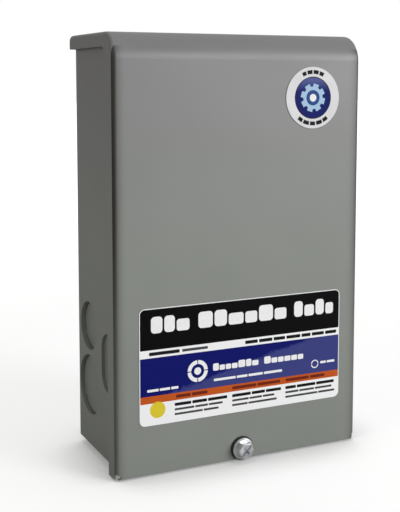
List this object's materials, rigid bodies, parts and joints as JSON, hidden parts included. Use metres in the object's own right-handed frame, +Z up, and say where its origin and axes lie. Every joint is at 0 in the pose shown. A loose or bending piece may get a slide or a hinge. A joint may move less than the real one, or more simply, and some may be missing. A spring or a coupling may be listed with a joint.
{
  "type": "magnetic motor starter",
  "caption": "Grey steel wall box with a hooked-on drawn cover, side knockouts, a hex cover screw, and a terminal block, plug, capacitor and relay inside.",
  "frame": {"origin": "middle of the lower wall pad's face, in the wall plane", "axes": "+Z up the box, +Y out of the back into the wall, +X to the right seen from the front"},
  "size_m": [0.154, 0.0823, 0.2427],
  "materials": {
    "painted_steel": "grey enamel over folded and drawn steel sheet",
    "zinc_plate": "bright zinc plate",
    "brass": "stamped brass strip",
    "soft_iron": "plain soft iron",
    "copper_winding": "enamelled copper wire",
    "aluminium_can": "drawn aluminium",
    "black_plastic": "black moulded phenolic",
    "grey_plastic": "grey moulded plastic",
    "cream_plastic": "cream moulded plastic",
    "seal_rubber": "black rubber",
    "wire_insulation": "PVC insulation in several colours",
    "printed_label": "printed film in black, white, blue and orange bands, no lettering",
    "badge_foil": null,
    "green_screw": "green earthing screw"
  },
  "bodies": {
    "base": {"base_wrapper": "painted_steel", "bottom_plate": "painted_steel", "clip_nut": "zinc_plate", "terminal_block": "black_plastic", "block_screw_1": "zinc_plate", "block_screw_2": "zinc_plate", "ground_screw": "green_screw", "ground_washer": "brass", "terminal_blade_1": "brass", "terminal_blade_2": "brass", "terminal_blade_3": "brass", "terminal_blade_4": "brass", "terminal_blade_5": "brass"},
    "cover": {"cover_shell": "painted_steel", "front_label": "printed_label", "round_badge": "badge_foil", "diagram_label": "printed_label", "capacitor_can": "aluminium_can", "capacitor_end_cap": "black_plastic", "capacitor_tab_left": "brass", "capacitor_tab_right": "brass", "capacitor_strap": "zinc_plate", "plug_bracket": "zinc_plate", "plug_housing": "cream_plastic", "plug_contact_1": "brass", "plug_contact_2": "brass", "plug_contact_3": "brass", "plug_contact_4": "brass", "plug_contact_5": "brass", "relay_base": "black_plastic", "relay_case": "grey_plastic", "relay_screw_1": "zinc_plate", "relay_screw_2": "zinc_plate", "relay_frame": "soft_iron", "relay_core": "soft_iron", "relay_bobbin": "cream_plastic", "relay_winding": "copper_winding", "relay_fixed_contact": "brass", "relay_arm_tab": "brass", "relay_coil_tab": "brass", "relay_spring": "zinc_plate", "wire_1": "wire_insulation", "wire_2": "wire_insulation", "wire_3": "wire_insulation", "wire_4": "wire_insulation", "wire_5": "wire_insulation"},
    "seal": {"seal_washer": "seal_rubber"},
    "cover_screw": {"cover_screw": "zinc_plate"},
    "armature": {"relay_armature": "soft_iron", "relay_contact_arm": "brass"},
    "clamp_1": {"terminal_clamp_1": "zinc_plate"},
    "screw_1": {"terminal_screw_1": "zinc_plate"},
    "clamp_2": {"terminal_clamp_2": "zinc_plate"},
    "screw_2": {"terminal_screw_2": "zinc_plate"},
    "clamp_3": {"terminal_clamp_3": "zinc_plate"},
    "screw_3": {"terminal_screw_3": "zinc_plate"},
    "clamp_4": {"terminal_clamp_4": "zinc_plate"},
    "screw_4": {"terminal_screw_4": "zinc_plate"},
    "clamp_5": {"terminal_clamp_5": "zinc_plate"},
    "screw_5": {"terminal_screw_5": "zinc_plate"}
  },
  "joints": [
    {"name": "cover_swing", "type": "hinge", "parent": "base", "child": "cover", "pos_m": [0, -0.0052, 0.1926], "axis": [-1, 0, 0], "range_deg": [0, 30]},
    {"name": "screw_travel", "type": "slide", "parent": "cover", "child": "seal", "axis": [0, -1, 0], "range_m": [0, 0.00635]},
    {"name": "screw_turn", "type": "hinge", "parent": "seal", "child": "cover_screw", "pos_m": [0, -0.078, -0.0337], "axis": [0, -1, 0], "range_deg": [0, 2162]},
    {"name": "armature_rock", "type": "hinge", "parent": "cover", "child": "armature", "pos_m": [0.035, -0.0698, 0.1486], "axis": [-1, 0, 0], "range_deg": [0, 5], "stiffness_Nm_per_rad": 0.03, "springref_deg": -8.59, "deforming": ["relay_spring"]},
    {"name": "clamp_1_travel", "type": "slide", "parent": "base", "child": "clamp_1", "axis": [0, -1, 0], "range_m": [0, 0.004]},
    {"name": "screw_1_turn", "type": "hinge", "parent": "clamp_1", "child": "screw_1", "pos_m": [-0.04, -0.03, 0.054], "axis": [0, -1, 0], "range_deg": [0, 1802]},
    {"name": "clamp_2_travel", "type": "slide", "parent": "base", "child": "clamp_2", "axis": [0, -1, 0], "range_m": [0, 0.004]},
    {"name": "screw_2_turn", "type": "hinge", "parent": "clamp_2", "child": "screw_2", "pos_m": [-0.02, -0.03, 0.054], "axis": [0, -1, 0], "range_deg": [0, 1802]},
    {"name": "clamp_3_travel", "type": "slide", "parent": "base", "child": "clamp_3", "axis": [0, -1, 0], "range_m": [0, 0.004]},
    {"name": "screw_3_turn", "type": "hinge", "parent": "clamp_3", "child": "screw_3", "pos_m": [0, -0.03, 0.054], "axis": [0, -1, 0], "range_deg": [0, 1802]},
    {"name": "clamp_4_travel", "type": "slide", "parent": "base", "child": "clamp_4", "axis": [0, -1, 0], "range_m": [0, 0.004]},
    {"name": "screw_4_turn", "type": "hinge", "parent": "clamp_4", "child": "screw_4", "pos_m": [0.02, -0.03, 0.054], "axis": [0, -1, 0], "range_deg": [0, 1802]},
    {"name": "clamp_5_travel", "type": "slide", "parent": "base", "child": "clamp_5", "axis": [0, -1, 0], "range_m": [0, 0.004]},
    {"name": "screw_5_turn", "type": "hinge", "parent": "clamp_5", "child": "screw_5", "pos_m": [0.04, -0.03, 0.054], "axis": [0, -1, 0], "range_deg": [0, 1802]}
  ],
  "couplings": [
    {"joint": "screw_turn", "follows": "screw_travel", "rad_per_m": 5936.9},
    {"joint": "screw_1_turn", "follows": "clamp_1_travel", "rad_per_m": 7854},
    {"joint": "screw_2_turn", "follows": "clamp_2_travel", "rad_per_m": 7854},
    {"joint": "screw_3_turn", "follows": "clamp_3_travel", "rad_per_m": 7854},
    {"joint": "screw_4_turn", "follows": "clamp_4_travel", "rad_per_m": 7854},
    {"joint": "screw_5_turn", "follows": "clamp_5_travel", "rad_per_m": 7854}
  ]
}
